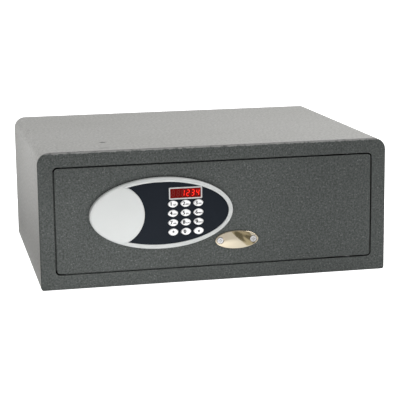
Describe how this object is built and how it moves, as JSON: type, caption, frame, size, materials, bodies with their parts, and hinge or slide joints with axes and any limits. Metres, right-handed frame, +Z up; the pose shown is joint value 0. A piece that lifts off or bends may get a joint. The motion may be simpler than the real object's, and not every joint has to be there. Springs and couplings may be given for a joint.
{
  "type": "in-room safe",
  "caption": "Low front-opening steel room safe with a flush hinged door, oval electronic keypad with display, motor driven round bolts and a covered key override.",
  "frame": {"origin": "centre of the base plate's underside, on the surface that the safe stands on", "axes": "+X to the right seen from the front, +Y to the back, +Z up; the front face is at y = -0.17 m"},
  "size_m": [0.44, 0.346, 0.17],
  "materials": {
    "front_paint": "graphite hammertone powder coat",
    "case_paint": "light grey textured powder coat",
    "zinc_steel": "zinc plated, satin",
    "bright_steel": "ground and polished",
    "dark_steel": "graphite powder coat",
    "stainless": "mirror polished stainless",
    "barrel_chrome": "chrome plated",
    "mat_felt": "needle felt carpet",
    "bezel_plastic": "silver-grey satin moulding",
    "fascia_plastic": "blue-black gloss",
    "display_surround": "silver print",
    "display_lens": "smoked red lens",
    "display_black": "matt",
    "silicone": "moulded silicone",
    "circuit_board": "solder resist",
    "grey_lead": "PVC sheath",
    "red_lead": "PVC sheath",
    "gear_plastic": "natural acetal",
    "motor_can": "plated can",
    "black_plastic": "fine textured moulding",
    "cell_jacket": null,
    "cover_paint": "dark grey powder coat",
    "reset_red": "moulded",
    "key_plastic": "white gloss moulding"
  },
  "bodies": {
    "case": {"front_frame": "front_paint", "body_wrap": "case_paint", "base_plate": "case_paint", "back_panel": "case_paint", "door_stops": "front_paint", "bolt_strike": "front_paint", "hinge_lugs": "dark_steel", "hinge_pins": "bright_steel", "thrust_washer": "zinc_steel", "floor_mat": "mat_felt"},
    "door": {"door_plate": "front_paint", "door_hinge_blocks": "dark_steel", "bolt_guide_bracket": "zinc_steel", "motor_bracket": "zinc_steel", "gearbox": "gear_plastic", "lock_motor": "motor_can", "keypad_bezel": "bezel_plastic", "keypad_fascia": "fascia_plastic", "display_frame": "display_surround", "display_window": "display_lens", "display_module": "display_black", "key_mat": "silicone", "keypad_board": "circuit_board", "keypad_nuts": "zinc_steel", "keypad_ribbon": "grey_lead", "control_board": "circuit_board", "standoffs": "zinc_steel", "motor_lead": "grey_lead", "battery_box": "black_plastic", "battery_cells": "cell_jacket", "battery_lead": "red_lead", "mechanism_cover": "cover_paint", "mechanism_screws": "bright_steel", "override_barrel": "barrel_chrome", "override_nut": "zinc_steel"},
    "bolt_carriage": {"bolt_carriage": "zinc_steel", "bolts": "bright_steel", "bolt_nuts": "zinc_steel", "bolt_rack": "gear_plastic", "override_link": "zinc_steel"},
    "pinion": {"pinion": "gear_plastic", "output_shaft": "bright_steel"},
    "override_plug": {"override_plug": "bright_steel", "override_cam": "zinc_steel"},
    "override_cover": {"override_cover": "stainless", "override_cover_screws": "bright_steel"},
    "battery_lid": {"battery_lid": "black_plastic"},
    "reset_button": {"reset_button": "reset_red"},
    "key_1": {"key_1": "key_plastic"},
    "key_2": {"key_2": "key_plastic"},
    "key_3": {"key_3": "key_plastic"},
    "key_4": {"key_4": "key_plastic"},
    "key_5": {"key_5": "key_plastic"},
    "key_6": {"key_6": "key_plastic"},
    "key_7": {"key_7": "key_plastic"},
    "key_8": {"key_8": "key_plastic"},
    "key_9": {"key_9": "key_plastic"},
    "key_star": {"key_star": "key_plastic"},
    "key_0": {"key_0": "key_plastic"},
    "key_hash": {"key_hash": "key_plastic"}
  },
  "joints": [
    {"name": "door_hinge", "type": "hinge", "parent": "case", "child": "door", "pos_m": [0.172, -0.161, 0.085], "axis": [0, 0, 1], "range_deg": [0, 105]},
    {"name": "bolt_slide", "type": "slide", "parent": "door", "child": "bolt_carriage", "axis": [-1, 0, 0], "range_m": [0, 0.015]},
    {"name": "pinion_spin", "type": "hinge", "parent": "door", "child": "pinion", "pos_m": [-0.092, -0.152, 0.085], "axis": [0, -1, 0], "range_deg": [0, 123]},
    {"name": "override_turn", "type": "hinge", "parent": "door", "child": "override_plug", "pos_m": [0.0252, -0.16, 0.0505], "axis": [0, 1, 0], "range_deg": [-90, 0]},
    {"name": "override_cover_off", "type": "slide", "parent": "door", "child": "override_cover", "axis": [0, -1, 0], "range_m": [0, 0.03]},
    {"name": "battery_lid_off", "type": "slide", "parent": "door", "child": "battery_lid", "axis": [0, 1, 0], "range_m": [0, 0.03]},
    {"name": "reset_press", "type": "slide", "parent": "door", "child": "reset_button", "axis": [0, -1, 0], "range_m": [0, 0.0012], "stiffness_N_per_m": 800},
    {"name": "press_1", "type": "slide", "parent": "door", "child": "key_1", "axis": [0, 1, 0], "range_m": [0, 0.0012], "stiffness_N_per_m": 800},
    {"name": "press_2", "type": "slide", "parent": "door", "child": "key_2", "axis": [0, 1, 0], "range_m": [0, 0.0012], "stiffness_N_per_m": 800},
    {"name": "press_3", "type": "slide", "parent": "door", "child": "key_3", "axis": [0, 1, 0], "range_m": [0, 0.0012], "stiffness_N_per_m": 800},
    {"name": "press_4", "type": "slide", "parent": "door", "child": "key_4", "axis": [0, 1, 0], "range_m": [0, 0.0012], "stiffness_N_per_m": 800},
    {"name": "press_5", "type": "slide", "parent": "door", "child": "key_5", "axis": [0, 1, 0], "range_m": [0, 0.0012], "stiffness_N_per_m": 800},
    {"name": "press_6", "type": "slide", "parent": "door", "child": "key_6", "axis": [0, 1, 0], "range_m": [0, 0.0012], "stiffness_N_per_m": 800},
    {"name": "press_7", "type": "slide", "parent": "door", "child": "key_7", "axis": [0, 1, 0], "range_m": [0, 0.0012], "stiffness_N_per_m": 800},
    {"name": "press_8", "type": "slide", "parent": "door", "child": "key_8", "axis": [0, 1, 0], "range_m": [0, 0.0012], "stiffness_N_per_m": 800},
    {"name": "press_9", "type": "slide", "parent": "door", "child": "key_9", "axis": [0, 1, 0], "range_m": [0, 0.0012], "stiffness_N_per_m": 800},
    {"name": "press_star", "type": "slide", "parent": "door", "child": "key_star", "axis": [0, 1, 0], "range_m": [0, 0.0012], "stiffness_N_per_m": 800},
    {"name": "press_0", "type": "slide", "parent": "door", "child": "key_0", "axis": [0, 1, 0], "range_m": [0, 0.0012], "stiffness_N_per_m": 800},
    {"name": "press_hash", "type": "slide", "parent": "door", "child": "key_hash", "axis": [0, 1, 0], "range_m": [0, 0.0012], "stiffness_N_per_m": 800}
  ],
  "couplings": [
    {"joint": "pinion_spin", "follows": "bolt_slide", "rad_per_m": 142.86}
  ]
}
